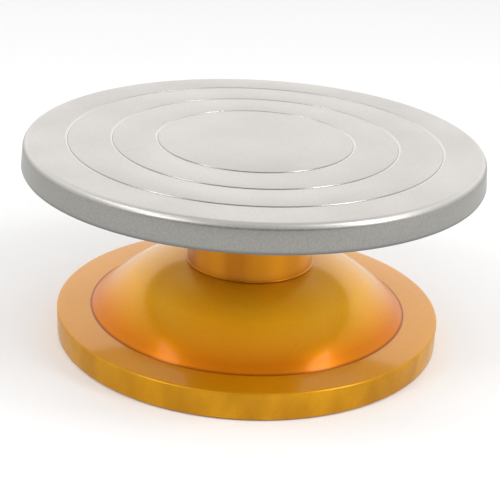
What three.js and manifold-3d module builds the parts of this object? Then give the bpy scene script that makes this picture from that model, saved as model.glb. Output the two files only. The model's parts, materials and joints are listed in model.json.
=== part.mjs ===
// A cake turntable, in millimetres, +Z up. The origin is the centre of the circle that the four
// feet stand on, and the Z axis is the axis that the plate turns about.

import * as THREE from 'three';
import { mergeVertices } from 'three/addons/utils/BufferGeometryUtils.js';
import Module from 'manifold-3d';

// ---------- Driving dimensions ----------

const HEIGHT = 137;
const GAP = 0.3; // left between two separate pieces that touch or fit into each other

// Plate: a shallow dish turned upside down.
const PLATE_RADIUS = 152.5; // at the lower edge of the rim
const RIM_HEIGHT = 18;
const RIM_DRAFT = 1.1; // the rim narrows by this much towards its top
const RIM_WALL = 4;
const RIM_ROUND = 4.3; // radius of the rounded edge round the top
const RIM_CHAMFER = 1.5; // height of the chamfer round the lower edge
const PLATE_THICKNESS = 5;
const PAD_THICKNESS = 7; // the middle of the plate, where the hub is screwed on
const PAD_RADIUS = 48;
const GROOVE_RADII = [123.5, 94.5, 65]; // centring circles, from the largest
const GROOVE_HALF_WIDTH = 1.2;
const GROOVE_DEPTH = 0.5;

// Base: flange and dome in one casting.
const BASE_RADIUS = 130.5;
const BASE_WALL = 4;
const BASE_CLEARANCE = 1; // from the table to the lower edge of the flange
const FLANGE_TOP = 19;
const FLANGE_ROUND = 1.3;
const DOME_RADIUS = 107.1; // where the dome leaves the flange
const DOME_TOP = 52.3; // where the dome meets the neck
const DOME_FOOT_SLOPE = THREE.MathUtils.degToRad(42);
const DOME_FOOT_PULL = 19; // length of the curve's handle at the flange
const DOME_TOP_SLOPE = THREE.MathUtils.degToRad(2.5);
const DOME_TOP_PULL = 29.5; // length of the curve's handle at the neck

// Neck: a collar with a web across its top, and a spigot pressed into the hole in the dome.
const NECK_RADIUS = 42.6;
const NECK_BEAD = 1; // how far the collar's lower edge stands out
const NECK_BEAD_HEIGHT = 1;
const NECK_TOP = 121;
const NECK_WEB = 7;
const NECK_WALL = 4;
const SPIGOT_RADIUS = 40.6;

// Bearing housing: a flanged sleeve, screwed up against the underside of the neck's web.
const HOUSING_RADIUS = 26;
const HOUSING_BOTTOM = 56;
const HOUSING_FLANGE_RADIUS = 35;
const HOUSING_FLANGE = 5;
const HOUSING_SCREW_CIRCLE = 30.5;
const HOUSING_SCREW_COUNT = 3;

// Bearings: 17 x 40 x 12 mm deep-groove ball bearings.
const BEARING_BORE = 8.5;
const BEARING_RADIUS = 20;
const BEARING_WIDTH = 12;
const BALL_RADIUS = 3.37;
const BALL_COUNT = 8;
const BALL_CIRCLE = 14.25;
const INNER_LAND = 12.2; // outside radius of the inner race's shoulders
const OUTER_LAND = 16.3; // inside radius of the outer race's shoulders
const UPPER_BEARING_BOTTOM = 106;
const LOWER_BEARING_BOTTOM = 66;

// Hub, spindle and what holds them.
const SPINDLE_RADIUS = 8.2;
const SPINDLE_BOTTOM = LOWER_BEARING_BOTTOM + 0.5;
const SPINDLE_CHAMFER = 0.8;
const HUB_RADIUS = 42;
const HUB_FLANGE_BOTTOM = 123;
const HUB_NOSE_RADIUS = 11.5;
const HUB_SCREW_CIRCLE = 30;
const HUB_SCREW_COUNT = 4;
const END_WASHER_RADIUS = 11;
const END_WASHER_THICKNESS = 2;
const END_SCREW_RADIUS = 3;
const END_SCREW_LENGTH = 20;

// Feet.
const FOOT_COUNT = 4;
const FOOT_CIRCLE = 116;
const FOOT_RADIUS = 9.5;
const FOOT_HEIGHT = 5;

// Facets in a full turn.
const PLATE_SEGMENTS = 64;
const BASE_SEGMENTS = 48;
const HUB_SEGMENTS = 36;
const BEARING_SEGMENTS = 24;
const FOOT_SEGMENTS = 16;
const CIRCLIP_STEPS = 14;
const SCREW_SEGMENTS = 10;
const DOME_STEPS = 7;
const DOME_INSIDE_STEPS = 4;
const RACEWAY_STEPS = 4;

const RIM_BOTTOM = HEIGHT - RIM_HEIGHT;
const PAD_BOTTOM = HEIGHT - PAD_THICKNESS;
const QUARTER_TURN = Math.PI / 2;

// ---------- Materials ----------

const metal = (color, roughness) => new THREE.MeshStandardMaterial({ color, roughness, metalness: 1 });
const plain = (color, roughness) => new THREE.MeshStandardMaterial({ color, roughness, metalness: 0 });

const satinAluminium = metal(0xd6d3cf, 0.38);
const castAluminium = metal(0xb4b4b2, 0.55);
const goldLacquer = metal(0xd08a2c, 0.16);
const bearingSteel = metal(0xc3c5c8, 0.2);
const zincSteel = metal(0xb9bcbd, 0.32);
const springSteel = metal(0x4d4f52, 0.4);
const cagePlastic = plain(0x2f4a3c, 0.55);
const blackRubber = plain(0x1c1c1d, 0.85);

// ---------- Joining and cutting ----------

const wasm = await Module();
wasm.setup();

function solidOf(geometry) {
  const bare = geometry.clone();
  bare.deleteAttribute('normal');
  bare.deleteAttribute('uv');
  const merged = mergeVertices(bare);
  const corners = Array.from(merged.index.array);
  const triVerts = [];
  for (let i = 0; i < corners.length; i += 3) {
    const [a, b, c] = corners.slice(i, i + 3);
    if (a !== b && b !== c && c !== a) triVerts.push(a, b, c);
  }
  const mesh = new wasm.Mesh({
    numProp: 3,
    vertProperties: new Float32Array(merged.attributes.position.array),
    triVerts: new Uint32Array(triVerts),
  });
  return new wasm.Manifold(mesh);
}

function geometryOf(solid) {
  const { vertProperties, triVerts } = solid.getMesh();
  const geometry = new THREE.BufferGeometry();
  geometry.setAttribute('position', new THREE.BufferAttribute(vertProperties, 3));
  geometry.setIndex(new THREE.BufferAttribute(triVerts, 1));
  geometry.computeVertexNormals();
  return geometry;
}

function joined(geometry, additions) {
  return geometryOf(additions.reduce((solid, piece) => solid.add(solidOf(piece)), solidOf(geometry)));
}

function cut(geometry, cutters) {
  return geometryOf(cutters.reduce((solid, tool) => solid.subtract(solidOf(tool)), solidOf(geometry)));
}

// ---------- Shape helpers ----------

// A turned solid. The outline lists [radius, height] points anticlockwise: outwards along the
// underside, up the outside and back in along the top.
function turned(outline, segments) {
  const points = outline.map(([radius, height]) => new THREE.Vector2(radius, height));
  return new THREE.LatheGeometry(points, segments).rotateX(QUARTER_TURN);
}

function ring(inner, outer, bottom, top, segments) {
  return turned([[inner, bottom], [outer, bottom], [outer, top], [inner, top], [inner, bottom]], segments);
}

function rod(radius, bottom, top, segments, x = 0, y = 0) {
  return new THREE.CylinderGeometry(radius, radius, top - bottom, segments)
    .rotateX(QUARTER_TURN)
    .translate(x, y, (bottom + top) / 2);
}

// Outline points on an arc about [radius, height], with both angles in degrees.
function arc([radius, height], size, from, to, steps) {
  return Array.from({ length: steps + 1 }, (_, i) => {
    const angle = THREE.MathUtils.degToRad(from + ((to - from) * i) / steps);
    return [radius + size * Math.cos(angle), height + size * Math.sin(angle)];
  });
}

// Places on a circle about the Z axis, evenly spaced from the first angle.
function placesOn(radius, count, firstAngle = 0) {
  return Array.from({ length: count }, (_, i) => {
    const angle = firstAngle + (2 * Math.PI * i) / count;
    return { x: radius * Math.cos(angle), y: radius * Math.sin(angle), angle };
  });
}

const turntable = new THREE.Group();

function add(name, geometry, material) {
  const mesh = new THREE.Mesh(geometry, material);
  mesh.name = name;
  turntable.add(mesh);
  return mesh;
}

// ---------- Plate ----------

const HUB_SCREWS = placesOn(HUB_SCREW_CIRCLE, HUB_SCREW_COUNT, Math.PI / 4);
const HUB_SCREW = { shank: 2.4, head: 4.2, headHeight: 2.8, reach: 8.6, socket: 1.8, socketDepth: 1.6 };
const HUB_SCREW_SEAT = HUB_FLANGE_BOTTOM + 3;

function topPlate() {
  const underside = HEIGHT - PLATE_THICKNESS;
  const rimTop = PLATE_RADIUS - RIM_DRAFT;
  const innerWall = PLATE_RADIUS - RIM_WALL;
  const innerRound = 4;
  const lowerEdge = PLATE_RADIUS - RIM_CHAMFER / 2;
  const grooves = GROOVE_RADII.flatMap((radius) => [
    [radius + GROOVE_HALF_WIDTH, HEIGHT],
    [radius, HEIGHT - GROOVE_DEPTH],
    [radius - GROOVE_HALF_WIDTH, HEIGHT],
  ]);
  const dish = turned(
    [
      [0, PAD_BOTTOM],
      [PAD_RADIUS, PAD_BOTTOM],
      [PAD_RADIUS + PAD_THICKNESS - PLATE_THICKNESS, underside],
      [innerWall - innerRound, underside],
      [innerWall - RIM_DRAFT / 2, underside - innerRound],
      [innerWall, RIM_BOTTOM],
      [lowerEdge, RIM_BOTTOM],
      [PLATE_RADIUS, RIM_BOTTOM + RIM_CHAMFER],
      ...arc([rimTop - RIM_ROUND, HEIGHT - RIM_ROUND], RIM_ROUND, 0, 90, 3),
      ...grooves,
      [0, HEIGHT],
    ],
    PLATE_SEGMENTS,
  );
  const holeTop = HUB_SCREW_SEAT + HUB_SCREW.reach + GAP;
  const holes = HUB_SCREWS.map(({ x, y }) =>
    rod(HUB_SCREW.shank + GAP, PAD_BOTTOM - 1, holeTop, SCREW_SEGMENTS, x, y));
  return cut(dish, holes);
}

function plateHub() {
  const bore = SPINDLE_RADIUS + 2 * GAP;
  const top = PAD_BOTTOM - GAP;
  const nose = UPPER_BEARING_BOTTOM + BEARING_WIDTH + GAP;
  const hub = turned(
    [
      [bore, nose],
      [HUB_NOSE_RADIUS, nose],
      [HUB_NOSE_RADIUS, HUB_FLANGE_BOTTOM - 1],
      [HUB_NOSE_RADIUS + 2, HUB_FLANGE_BOTTOM],
      [HUB_RADIUS - 1, HUB_FLANGE_BOTTOM],
      [HUB_RADIUS, HUB_FLANGE_BOTTOM + 1],
      [HUB_RADIUS, top],
      [bore, top],
      [bore, nose],
    ],
    HUB_SEGMENTS,
  );
  const holes = HUB_SCREWS.flatMap(({ x, y }) => [
    rod(HUB_SCREW.shank + GAP, HUB_FLANGE_BOTTOM - 1, top + 1, SCREW_SEGMENTS, x, y),
    rod(HUB_SCREW.head + GAP, HUB_FLANGE_BOTTOM - 1, HUB_SCREW_SEAT + GAP, SCREW_SEGMENTS, x, y),
  ]);
  return cut(hub, holes);
}

// A socket-head screw that points up, with the underside of its head at the given height.
function screw({ shank, head, headHeight, reach, socket, socketDepth }, seat) {
  const bottom = seat - headHeight;
  const body = turned(
    [[0, bottom], [head, bottom], [head, seat], [shank, seat], [shank, seat + reach], [0, seat + reach]],
    SCREW_SEGMENTS,
  );
  return cut(body, [rod(socket, bottom - 1, bottom + socketDepth, 6)]);
}

// ---------- Spindle ----------

function spindle() {
  const top = PAD_BOTTOM - 2 * GAP;
  const hole = END_SCREW_RADIUS + GAP;
  const holeTop = SPINDLE_BOTTOM + END_SCREW_LENGTH;
  return turned(
    [
      [0, holeTop],
      [hole, holeTop],
      [hole, SPINDLE_BOTTOM],
      [SPINDLE_RADIUS - SPINDLE_CHAMFER, SPINDLE_BOTTOM],
      [SPINDLE_RADIUS, SPINDLE_BOTTOM + SPINDLE_CHAMFER],
      [SPINDLE_RADIUS, top - SPINDLE_CHAMFER],
      [SPINDLE_RADIUS - SPINDLE_CHAMFER, top],
      [0, top],
    ],
    BEARING_SEGMENTS,
  );
}

const END_WASHER_TOP = LOWER_BEARING_BOTTOM - GAP;
const END_WASHER_BOTTOM = END_WASHER_TOP - END_WASHER_THICKNESS;

function endScrew() {
  const headTop = END_WASHER_BOTTOM - GAP;
  const headHeight = 4;
  const headRadius = 5.8;
  const head = rod(headRadius, headTop - headHeight, headTop, 6);
  return joined(head, [rod(END_SCREW_RADIUS, headTop - 1, headTop + END_SCREW_LENGTH, SCREW_SEGMENTS)]);
}

// ---------- Bearings ----------

const BALLS = placesOn(BALL_CIRCLE, BALL_COUNT);
const RACEWAY = BALL_RADIUS + 1.2 * GAP;

// Outline points of the raceway, from one shoulder to the other, seen from the ball's centre.
function raceway(land, middle, from) {
  const reach = THREE.MathUtils.radToDeg(Math.acos(Math.abs(BALL_CIRCLE - land) / RACEWAY));
  return arc([BALL_CIRCLE, middle], RACEWAY, from + reach, from - reach, RACEWAY_STEPS);
}

function innerRace(bottom) {
  const top = bottom + BEARING_WIDTH;
  const middle = bottom + BEARING_WIDTH / 2;
  return turned(
    [
      [BEARING_BORE, bottom],
      [INNER_LAND, bottom],
      ...raceway(INNER_LAND, middle, 180),
      [INNER_LAND, top],
      [BEARING_BORE, top],
      [BEARING_BORE, bottom],
    ],
    BEARING_SEGMENTS,
  );
}

function outerRace(bottom) {
  const top = bottom + BEARING_WIDTH;
  const middle = bottom + BEARING_WIDTH / 2;
  return turned(
    [
      [OUTER_LAND, bottom],
      [BEARING_RADIUS, bottom],
      [BEARING_RADIUS, top],
      [OUTER_LAND, top],
      ...raceway(OUTER_LAND, middle, 0),
      [OUTER_LAND, bottom],
    ],
    BEARING_SEGMENTS,
  );
}

// A crown cage: a ring below the balls, with prongs that stand up between them.
function ballCage(bottom) {
  const middle = bottom + BEARING_WIDTH / 2;
  const crown = ring(13, 15.5, middle - 4.6, middle + 1.5, BEARING_SEGMENTS);
  const pocket = BALL_RADIUS + GAP;
  const pockets = BALLS.map(({ angle }) =>
    new THREE.CylinderGeometry(pocket, pocket, BEARING_WIDTH, SCREW_SEGMENTS)
      .rotateZ(QUARTER_TURN)
      .translate(BALL_CIRCLE, 0, middle)
      .rotateZ(angle));
  return cut(crown, pockets);
}

function addBearing(place, bottom) {
  const middle = bottom + BEARING_WIDTH / 2;
  const shieldInset = 0.3;
  const shieldThickness = 0.6;
  const lowerShield = bottom + shieldInset;
  const upperShield = bottom + BEARING_WIDTH - shieldInset - shieldThickness;
  const shield = (from) =>
    ring(INNER_LAND + 0.4, OUTER_LAND - 0.35, from, from + shieldThickness, BEARING_SEGMENTS);
  add(`${place}_bearing_outer_race`, outerRace(bottom), bearingSteel);
  add(`${place}_bearing_inner_race`, innerRace(bottom), bearingSteel);
  add(`${place}_bearing_cage`, ballCage(bottom), cagePlastic);
  add(`${place}_bearing_lower_shield`, shield(lowerShield), zincSteel);
  add(`${place}_bearing_upper_shield`, shield(upperShield), zincSteel);
  BALLS.forEach(({ x, y }, i) => {
    const ball = new THREE.IcosahedronGeometry(BALL_RADIUS, 1);
    add(`${place}_bearing_ball_${i + 1}`, ball, bearingSteel).position.set(x, y, middle);
  });
}

// ---------- Base ----------

const FEET = placesOn(FOOT_CIRCLE, FOOT_COUNT, Math.PI / 4);
const FOOT_SCREW = { shank: 1.75, head: 3.4, headHeight: 1.7, reach: 11.4, socket: 1.4, socketDepth: 1 };
const FOOT_SCREW_SEAT = 2.6;

const WEB_BOTTOM = NECK_TOP - NECK_WEB;
const HOUSING_SCREWS = placesOn(HOUSING_SCREW_CIRCLE, HOUSING_SCREW_COUNT, QUARTER_TURN);
const HOUSING_SCREW = { shank: 2, head: 3.5, headHeight: 3, reach: 10, socket: 1.5, socketDepth: 1.5 };
const HOUSING_SCREW_SEAT = WEB_BOTTOM - GAP - HOUSING_FLANGE - GAP;

// The dome's outline, from the flange up to the neck.
const dome = new THREE.CubicBezierCurve(
  new THREE.Vector2(DOME_RADIUS, FLANGE_TOP),
  new THREE.Vector2(
    DOME_RADIUS - DOME_FOOT_PULL * Math.cos(DOME_FOOT_SLOPE),
    FLANGE_TOP + DOME_FOOT_PULL * Math.sin(DOME_FOOT_SLOPE),
  ),
  new THREE.Vector2(
    NECK_RADIUS + NECK_BEAD + DOME_TOP_PULL * Math.cos(DOME_TOP_SLOPE),
    DOME_TOP - DOME_TOP_PULL * Math.sin(DOME_TOP_SLOPE),
  ),
  new THREE.Vector2(NECK_RADIUS + NECK_BEAD, DOME_TOP),
);

// Points on the dome, moved inwards, at right angles to its surface, by the given depth.
function domePoints(depth, steps) {
  return Array.from({ length: steps + 1 }, (_, i) => {
    const point = dome.getPoint(i / steps);
    const tangent = dome.getTangent(i / steps);
    return [point.x - depth * tangent.y, point.y + depth * tangent.x];
  });
}

function baseCasting() {
  const flangeInside = BASE_RADIUS - BASE_WALL;
  const hole = SPIGOT_RADIUS + GAP;
  const shell = turned(
    [
      [flangeInside, BASE_CLEARANCE],
      [BASE_RADIUS - 0.6, BASE_CLEARANCE],
      [BASE_RADIUS - 0.3, BASE_CLEARANCE + 0.4],
      ...arc([BASE_RADIUS - FLANGE_ROUND, FLANGE_TOP - FLANGE_ROUND], FLANGE_ROUND, 0, 90, 2),
      ...domePoints(0, DOME_STEPS),
      [hole, DOME_TOP],
      [hole, DOME_TOP - BASE_WALL],
      ...domePoints(BASE_WALL, DOME_INSIDE_STEPS).reverse(),
      [flangeInside, FLANGE_TOP - BASE_WALL],
      [flangeInside, BASE_CLEARANCE],
    ],
    BASE_SEGMENTS,
  );
  const bosses = FEET.map(({ x, y }) =>
    rod(FOOT_RADIUS - 1.5, FOOT_HEIGHT + GAP, FLANGE_TOP - BASE_WALL + 1, FOOT_SEGMENTS, x, y));
  const footHoleTop = FOOT_SCREW_SEAT + FOOT_SCREW.reach + GAP;
  const footHoles = FEET.map(({ x, y }) =>
    rod(FOOT_SCREW.shank + GAP, FOOT_HEIGHT, footHoleTop, SCREW_SEGMENTS, x, y));
  return cut(joined(shell, bosses), footHoles);
}

// ---------- Neck ----------

function neck() {
  const inside = NECK_RADIUS - NECK_WALL;
  const mouth = HOUSING_RADIUS + GAP;
  const shoulder = DOME_TOP + GAP;
  const edge = 1;
  const round = 3;
  const collar = turned(
    [
      [inside, DOME_TOP - BASE_WALL],
      [SPIGOT_RADIUS, DOME_TOP - BASE_WALL],
      [SPIGOT_RADIUS, shoulder],
      [NECK_RADIUS + NECK_BEAD, shoulder],
      [NECK_RADIUS, shoulder + NECK_BEAD_HEIGHT],
      [NECK_RADIUS, NECK_TOP - edge],
      [NECK_RADIUS - edge, NECK_TOP],
      [mouth, NECK_TOP],
      [mouth, WEB_BOTTOM],
      [inside - round, WEB_BOTTOM],
      [inside, WEB_BOTTOM - round],
      [inside, DOME_TOP - BASE_WALL],
    ],
    BASE_SEGMENTS,
  );
  const holeTop = HOUSING_SCREW_SEAT + HOUSING_SCREW.reach + GAP;
  const holes = HOUSING_SCREWS.map(({ x, y }) =>
    rod(HOUSING_SCREW.shank + GAP, WEB_BOTTOM - 1, holeTop, SCREW_SEGMENTS, x, y));
  return cut(collar, holes);
}

// ---------- Bearing housing ----------

const CIRCLIP = { bottom: 64.1, thickness: 1.5, outer: 21.2, inner: 18.4, openHalfAngle: 0.42 };

// The bore from the top down: the upper bearing's seat, a shoulder that carries both bearings,
// the lower bearing's seat, and the circlip's groove.
function housingBore() {
  const seat = BEARING_RADIUS + GAP;
  const shoulder = BEARING_RADIUS - 2;
  const groove = CIRCLIP.outer + 1.3 * GAP;
  const upperShoulder = UPPER_BEARING_BOTTOM - GAP;
  const lowerShoulder = LOWER_BEARING_BOTTOM + BEARING_WIDTH + GAP;
  const grooveTop = CIRCLIP.bottom + CIRCLIP.thickness + GAP;
  const grooveBottom = CIRCLIP.bottom - GAP;
  return [
    [seat, NECK_TOP],
    [seat, upperShoulder],
    [shoulder, upperShoulder],
    [shoulder, lowerShoulder],
    [seat, lowerShoulder],
    [seat, grooveTop],
    [groove, grooveTop],
    [groove, grooveBottom],
    [seat, grooveBottom],
    [seat, HOUSING_BOTTOM],
  ];
}

function bearingHousing() {
  const flangeTop = WEB_BOTTOM - GAP;
  const flangeBottom = flangeTop - HOUSING_FLANGE;
  const sleeve = turned(
    [
      ...housingBore(),
      [HOUSING_RADIUS - 1, HOUSING_BOTTOM],
      [HOUSING_RADIUS, HOUSING_BOTTOM + 1],
      [HOUSING_RADIUS, flangeBottom],
      [HOUSING_FLANGE_RADIUS, flangeBottom],
      [HOUSING_FLANGE_RADIUS, flangeTop],
      [HOUSING_RADIUS, flangeTop],
      [HOUSING_RADIUS, NECK_TOP],
      [BEARING_RADIUS + GAP, NECK_TOP],
    ],
    BEARING_SEGMENTS,
  );
  const holes = HOUSING_SCREWS.map(({ x, y }) =>
    rod(HOUSING_SCREW.shank + GAP, flangeBottom - 1, flangeTop + 1, SCREW_SEGMENTS, x, y));
  return cut(sleeve, holes);
}

// A rubber ring in the mouth of the housing, above the upper bearing.
function dustSeal() {
  const bottom = UPPER_BEARING_BOTTOM + BEARING_WIDTH + GAP;
  return ring(HUB_NOSE_RADIUS + 0.5, BEARING_RADIUS - 0.1, bottom, NECK_TOP - GAP, BEARING_SEGMENTS);
}

// An open spring ring, with an eye at each end for the pliers.
function circlip() {
  const { outer, inner, bottom, thickness, openHalfAngle } = CIRCLIP;
  const shape = new THREE.Shape();
  shape.absarc(0, 0, outer, openHalfAngle, 2 * Math.PI - openHalfAngle, false);
  shape.absarc(0, 0, inner, 2 * Math.PI - openHalfAngle, openHalfAngle, true);
  const options = { depth: thickness, bevelEnabled: false, curveSegments: CIRCLIP_STEPS };
  const open = new THREE.ExtrudeGeometry(shape, options).translate(0, 0, bottom);
  const eyes = [1, -1].map((side) => {
    const angle = side * (openHalfAngle + 0.06);
    return { x: (inner - 0.5) * Math.cos(angle), y: (inner - 0.5) * Math.sin(angle) };
  });
  const lugs = eyes.map(({ x, y }) => rod(2.1, bottom, bottom + thickness, SCREW_SEGMENTS, x, y));
  const holes = eyes.map(({ x, y }) => rod(0.9, bottom - 1, bottom + thickness + 1, SCREW_SEGMENTS, x, y));
  return cut(joined(open, lugs), holes);
}

// A pressed cup that closes the lower end of the housing and keeps the grease in.
function greaseCap() {
  const outside = BEARING_RADIUS - 0.1;
  const sheet = 1.2;
  const lipTop = HOUSING_BOTTOM - GAP;
  const lipBottom = lipTop - sheet;
  const wallTop = HOUSING_BOTTOM + 5.5;
  return turned(
    [
      [0, lipBottom],
      [HOUSING_RADIUS - 2, lipBottom],
      [HOUSING_RADIUS - 2, lipTop],
      [outside, lipTop],
      [outside, wallTop],
      [outside - sheet, wallTop],
      [outside - sheet, lipTop],
      [0, lipTop],
    ],
    BEARING_SEGMENTS,
  );
}

// A rubber foot, with its screw's head sunk into it from below.
function foot() {
  const headRoom = FOOT_SCREW.head + GAP;
  const hole = FOOT_SCREW.shank + GAP;
  const seat = FOOT_SCREW_SEAT + GAP;
  return turned(
    [
      [hole, seat],
      [headRoom, seat],
      [headRoom, 0],
      [FOOT_RADIUS - 1.2, 0],
      [FOOT_RADIUS, 1.2],
      [FOOT_RADIUS, FOOT_HEIGHT],
      [hole, FOOT_HEIGHT],
      [hole, seat],
    ],
    FOOT_SEGMENTS,
  );
}

// ---------- Assembly ----------

add('top_plate', topPlate(), satinAluminium);
add('plate_hub', plateHub(), castAluminium);
HUB_SCREWS.forEach(({ x, y }, i) => {
  add(`hub_screw_${i + 1}`, screw(HUB_SCREW, HUB_SCREW_SEAT), zincSteel).position.set(x, y, 0);
});

add('spindle', spindle(), bearingSteel);
addBearing('upper', UPPER_BEARING_BOTTOM);
add(
  'bearing_spacer',
  ring(
    BEARING_BORE,
    INNER_LAND - 1,
    LOWER_BEARING_BOTTOM + BEARING_WIDTH + GAP,
    UPPER_BEARING_BOTTOM - GAP,
    BEARING_SEGMENTS,
  ),
  zincSteel,
);
addBearing('lower', LOWER_BEARING_BOTTOM);
add(
  'spindle_end_washer',
  ring(END_SCREW_RADIUS + 2 * GAP, END_WASHER_RADIUS, END_WASHER_BOTTOM, END_WASHER_TOP, BEARING_SEGMENTS),
  zincSteel,
);
add('spindle_end_screw', endScrew(), zincSteel);

add('base_casting', baseCasting(), goldLacquer);
add('neck', neck(), goldLacquer);
add('bearing_housing', bearingHousing(), castAluminium);
HOUSING_SCREWS.forEach(({ x, y }, i) => {
  add(`housing_screw_${i + 1}`, screw(HOUSING_SCREW, HOUSING_SCREW_SEAT), zincSteel).position.set(x, y, 0);
});
add('dust_seal', dustSeal(), blackRubber);
add('housing_circlip', circlip(), springSteel);
add('grease_cap', greaseCap(), zincSteel);
FEET.forEach(({ x, y }, i) => {
  add(`rubber_foot_${i + 1}`, foot(), blackRubber).position.set(x, y, 0);
  add(`foot_screw_${i + 1}`, screw(FOOT_SCREW, FOOT_SCREW_SEAT), zincSteel).position.set(x, y, 0);
});

export default turntable;
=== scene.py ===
"""The looks of the cake turntable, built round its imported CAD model. Metres, +Z up."""

import json
import math
from collections import namedtuple

import bmesh
import bpy
from mathutils import Matrix, Vector

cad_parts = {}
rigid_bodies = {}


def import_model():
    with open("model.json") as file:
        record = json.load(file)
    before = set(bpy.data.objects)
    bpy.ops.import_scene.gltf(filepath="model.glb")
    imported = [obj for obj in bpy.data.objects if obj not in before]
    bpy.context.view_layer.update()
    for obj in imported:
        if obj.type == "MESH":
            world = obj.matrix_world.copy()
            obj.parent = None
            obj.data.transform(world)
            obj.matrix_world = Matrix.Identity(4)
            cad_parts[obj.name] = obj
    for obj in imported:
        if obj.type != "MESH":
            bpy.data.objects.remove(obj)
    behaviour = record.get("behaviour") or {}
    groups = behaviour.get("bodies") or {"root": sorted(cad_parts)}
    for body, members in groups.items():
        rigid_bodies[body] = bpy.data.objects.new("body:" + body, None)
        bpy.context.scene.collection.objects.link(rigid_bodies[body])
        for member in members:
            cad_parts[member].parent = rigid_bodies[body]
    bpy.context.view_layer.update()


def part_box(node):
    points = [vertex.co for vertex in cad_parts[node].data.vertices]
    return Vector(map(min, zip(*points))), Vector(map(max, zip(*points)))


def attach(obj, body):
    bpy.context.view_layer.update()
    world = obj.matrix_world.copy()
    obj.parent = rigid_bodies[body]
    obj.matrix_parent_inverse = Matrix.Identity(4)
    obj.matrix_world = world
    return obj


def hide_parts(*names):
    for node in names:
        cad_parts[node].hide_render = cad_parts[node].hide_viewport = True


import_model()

MM = 0.001
FULL_TURN = 2 * math.pi

# ---------- Places and sizes, from the frame ----------

plate_low, plate_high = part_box("top_plate")
base_low, base_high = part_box("base_casting")
neck_low, neck_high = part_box("neck")
hub_low, hub_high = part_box("plate_hub")
spindle_low, spindle_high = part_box("spindle")
PLATE_RADIUS = plate_high.x
PLATE_TOP = plate_high.z
RIM_BOTTOM = plate_low.z
BASE_RADIUS = base_high.x
BASE_BOTTOM = base_low.z
NECK_TOP = neck_high.z
NECK_FOOT = neck_low.z
HOUSING_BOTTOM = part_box("bearing_housing")[0].z

# ---------- Sizes that a box doesn't give, as in the CAD model ----------

GAP = 0.3 * MM
PLATE_THICKNESS = 5 * MM
PAD_THICKNESS = 7 * MM
PAD_RADIUS = 48 * MM
RIM_DRAFT = 1.1 * MM
RIM_WALL = 4 * MM
RIM_ROUND = 4.3 * MM
RIM_CHAMFER = 1.5 * MM
GROOVE_RADII = (123.5 * MM, 94.5 * MM, 65 * MM)
GROOVE_HALF_WIDTH = 1.2 * MM
GROOVE_DEPTH = 0.5 * MM
BASE_WALL = 4 * MM
FLANGE_TOP = 19 * MM
FLANGE_ROUND = 1.3 * MM
DOME_RADIUS = 107.1 * MM
DOME_TOP = 52.3 * MM
DOME_FOOT_SLOPE = math.radians(42)
DOME_FOOT_PULL = 19 * MM
DOME_TOP_SLOPE = math.radians(2.5)
DOME_TOP_PULL = 29.5 * MM
NECK_RADIUS = 42.6 * MM
NECK_BEAD = 1 * MM
NECK_WEB = 7 * MM
NECK_WALL = 4 * MM
SPIGOT_RADIUS = 40.6 * MM
HOUSING_RADIUS = 26 * MM
HOUSING_FLANGE_RADIUS = 35 * MM
HOUSING_FLANGE = 5 * MM
BEARING_BORE = 8.5 * MM
BEARING_RADIUS = 20 * MM
BALL_RADIUS = 3.37 * MM
BALL_CIRCLE = 14.25 * MM
INNER_LAND = 12.2 * MM
OUTER_LAND = 16.3 * MM
HUB_NOSE_RADIUS = 11.5 * MM
HUB_FLANGE_BOTTOM = 123 * MM
CAGE_INSIDE = 13 * MM
END_SCREW_RADIUS = 3 * MM
FOOT_BOSS_RADIUS = 8 * MM

# Socket-head screws. The shank, the head and the socket are given by their radii.
Screw = namedtuple("Screw", "shank head head_height socket socket_depth")
HUB_SCREW = Screw(2.4 * MM, 4.2 * MM, 2.8 * MM, 1.8 * MM, 1.6 * MM)
HOUSING_SCREW = Screw(2 * MM, 3.5 * MM, 3 * MM, 1.5 * MM, 1.5 * MM)
FOOT_SCREW = Screw(1.75 * MM, 3.4 * MM, 1.7 * MM, 1.4 * MM, 1 * MM)

HUB_SCREWS = 4
HOUSING_SCREWS = 3
FEET = 4
BALLS = 8

# Facets in a full turn.
LARGE_FACETS = 256
SMALL_FACETS = 96
SCREW_FACETS = 48
HEXAGON = 6


# ---------- Mesh building ----------

def arc(radius, height, size, start, end, steps=6):
    """Outline points on an arc about (radius, height), with both angles in degrees."""
    points = []
    for i in range(steps + 1):
        angle = math.radians(start + (end - start) * i / steps)
        points.append((radius + size * math.cos(angle), height + size * math.sin(angle)))
    return points


def curve(p0, p1, p2, p3, depth, steps):
    """Points on a cubic curve in the outline's plane, moved to its left by depth."""
    p0, p1, p2, p3 = (Vector(p) for p in (p0, p1, p2, p3))
    points = []
    for i in range(steps + 1):
        t = i / steps
        s = 1 - t
        place = s ** 3 * p0 + 3 * s * s * t * p1 + 3 * s * t * t * p2 + t ** 3 * p3
        way = (s * s * (p1 - p0) + 2 * s * t * (p2 - p1) + t * t * (p3 - p2)).normalized()
        points.append((place.x - depth * way.y, place.y + depth * way.x))
    return points


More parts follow.
